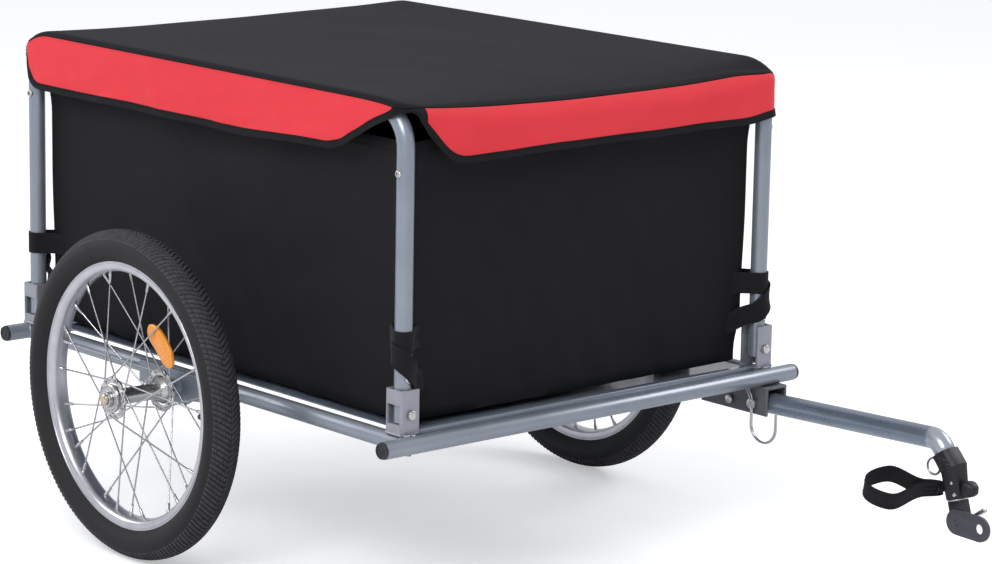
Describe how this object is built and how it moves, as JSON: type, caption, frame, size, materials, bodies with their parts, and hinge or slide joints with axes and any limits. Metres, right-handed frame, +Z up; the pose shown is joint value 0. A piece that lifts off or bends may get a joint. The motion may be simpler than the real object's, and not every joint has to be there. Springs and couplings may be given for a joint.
{
  "type": "bicycle cargo trailer",
  "caption": "Two-wheeled bicycle cargo trailer with a fabric box, a red and black cover, folding hoops and a folding drawbar.",
  "frame": {"origin": "on the ground, below the middle of the whole length and width", "axes": "+X forwards along the drawbar to the bicycle, +Y to the left, +Z up"},
  "size_m": [1.1101, 0.8006, 0.5953],
  "materials": {
    "frame_paint": "satin",
    "panel_paint": "gloss",
    "foot_paint": "satin",
    "bracket_paint": "satin",
    "bar_paint": "gloss",
    "zinc": "satin",
    "nickel": "polished",
    "tyre_rubber": "matte",
    "alloy": "satin",
    "bright_steel": "satin",
    "amber": "gloss",
    "black_plastic": "matte",
    "black_steel": "satin",
    "dark_steel": "satin",
    "black_cloth": "matte",
    "charcoal_cloth": "matte",
    "red_cloth": "matte",
    "webbing": "matte"
  },
  "bodies": {
    "frame": {"cargo_bag": "black_cloth", "drawbar_bracket": "bracket_paint", "drawbar_pivot_bolt": "zinc", "floor_panel": "panel_paint", "front_cross_tube": "frame_paint", "front_left_end_plug": "black_plastic", "front_right_end_plug": "black_plastic", "left_axle_bracket": "frame_paint", "left_front_foot_bolt": "zinc", "left_front_foot_bracket": "foot_paint", "left_rear_foot_bolt": "zinc", "left_rear_foot_bracket": "foot_paint", "left_side_rail": "frame_paint", "rear_cross_tube": "frame_paint", "rear_left_end_plug": "black_plastic", "rear_right_end_plug": "black_plastic", "right_axle_bracket": "frame_paint", "right_front_foot_bolt": "zinc", "right_front_foot_bracket": "foot_paint", "right_rear_foot_bolt": "zinc", "right_rear_foot_bracket": "foot_paint", "right_side_rail": "frame_paint"},
    "right_hoop_body": {"right_hoop": "frame_paint"},
    "right_axle_body": {"right_axle": "bright_steel"},
    "right_button_body": {"right_release_button": "nickel"},
    "right_wheel_body": {"right_wheel_hub": "alloy", "right_wheel_inner_bearing": "bright_steel", "right_wheel_inner_spokes": "bright_steel", "right_wheel_outer_bearing": "bright_steel", "right_wheel_outer_spokes": "bright_steel", "right_wheel_reflector": "amber", "right_wheel_rim": "alloy", "right_wheel_tyre": "tyre_rubber", "right_wheel_valve": "black_plastic"},
    "left_hoop_body": {"left_hoop": "frame_paint"},
    "left_axle_body": {"left_axle": "bright_steel"},
    "left_button_body": {"left_release_button": "nickel"},
    "left_wheel_body": {"left_wheel_hub": "alloy", "left_wheel_inner_bearing": "bright_steel", "left_wheel_inner_spokes": "bright_steel", "left_wheel_outer_bearing": "bright_steel", "left_wheel_outer_spokes": "bright_steel", "left_wheel_reflector": "amber", "left_wheel_rim": "alloy", "left_wheel_tyre": "tyre_rubber", "left_wheel_valve": "black_plastic"},
    "cover_body": {"cover_top": "charcoal_cloth", "cover_flaps": "red_cloth"},
    "lock_pin_body": {"lock_pin": "zinc"},
    "bail_body": {"lock_pin_bail": "zinc"},
    "drawbar_body": {"drawbar": "bar_paint", "coupler_block": "black_plastic", "swivel_washer": "zinc", "strap_link": "zinc", "safety_strap": "webbing", "strap_buckle": "black_plastic"},
    "hitch_leg_body": {"hitch_leg": "black_steel"},
    "hitch_plate_body": {"hitch_plate": "dark_steel"},
    "hitch_pin_body": {"hitch_pin": "zinc"}
  },
  "joints": [
    {"name": "right_axle_pull", "type": "slide", "parent": "frame", "child": "right_axle_body", "axis": [0, -1, 0], "range_m": [0, 0.03]},
    {"name": "right_wheel_spin", "type": "hinge", "parent": "right_axle_body", "child": "right_wheel_body", "pos_m": [-0.22087, -0.358, 0.196], "axis": [0, 1, 0], "continuous": true},
    {"name": "right_button_press", "type": "slide", "parent": "right_axle_body", "child": "right_button_body", "axis": [0, 1, 0], "range_m": [0, 0.003], "stiffness_N_per_m": 1500},
    {"name": "right_hoop_fold", "type": "hinge", "parent": "frame", "child": "right_hoop_body", "pos_m": [-0.18087, -0.2756, 0.24], "axis": [-1, 0, 0], "range_deg": [0, 84], "deforming": ["cargo_bag"]},
    {"name": "left_axle_pull", "type": "slide", "parent": "frame", "child": "left_axle_body", "axis": [0, 1, 0], "range_m": [0, 0.03]},
    {"name": "left_wheel_spin", "type": "hinge", "parent": "left_axle_body", "child": "left_wheel_body", "pos_m": [-0.22087, 0.358, 0.196], "axis": [0, 1, 0], "continuous": true},
    {"name": "left_button_press", "type": "slide", "parent": "left_axle_body", "child": "left_button_body", "axis": [0, -1, 0], "range_m": [0, 0.003], "stiffness_N_per_m": 1500},
    {"name": "left_hoop_fold", "type": "hinge", "parent": "frame", "child": "left_hoop_body", "pos_m": [-0.18087, 0.2756, 0.24], "axis": [1, 0, 0], "range_deg": [0, 90], "deforming": ["cargo_bag"]},
    {"name": "cover_lift", "type": "slide", "parent": "frame", "child": "cover_body", "axis": [0, 0, 1], "range_m": [0, 0.15]},
    {"name": "drawbar_fold", "type": "hinge", "parent": "frame", "child": "drawbar_body", "pos_m": [0.14713, 0.28, 0.173], "axis": [0, 1, 0], "range_deg": [0, 160]},
    {"name": "lock_pin_pull", "type": "slide", "parent": "frame", "child": "lock_pin_body", "axis": [0, -1, 0], "range_m": [0, 0.05]},
    {"name": "bail_swing", "type": "hinge", "parent": "lock_pin_body", "child": "bail_body", "pos_m": [0.18573, 0.2602, 0.17438], "axis": [-1, 0, 0], "range_deg": [0, 100]},
    {"name": "hitch_swivel", "type": "hinge", "parent": "drawbar_body", "child": "hitch_leg_body", "pos_m": [0.49859, 0.28, 0.12101], "axis": [-0.2924, 0, 0.9563], "range_deg": [-45, 45]},
    {"name": "hitch_plate_pitch", "type": "hinge", "parent": "hitch_leg_body", "child": "hitch_plate_body", "pos_m": [0.50619, 0.28, 0.09615], "axis": [0, 1, 0], "range_deg": [-15, 75]},
    {"name": "hitch_pin_pull", "type": "slide", "parent": "hitch_leg_body", "child": "hitch_pin_body", "axis": [0, 1, 0], "range_m": [0, 0.03]}
  ]
}
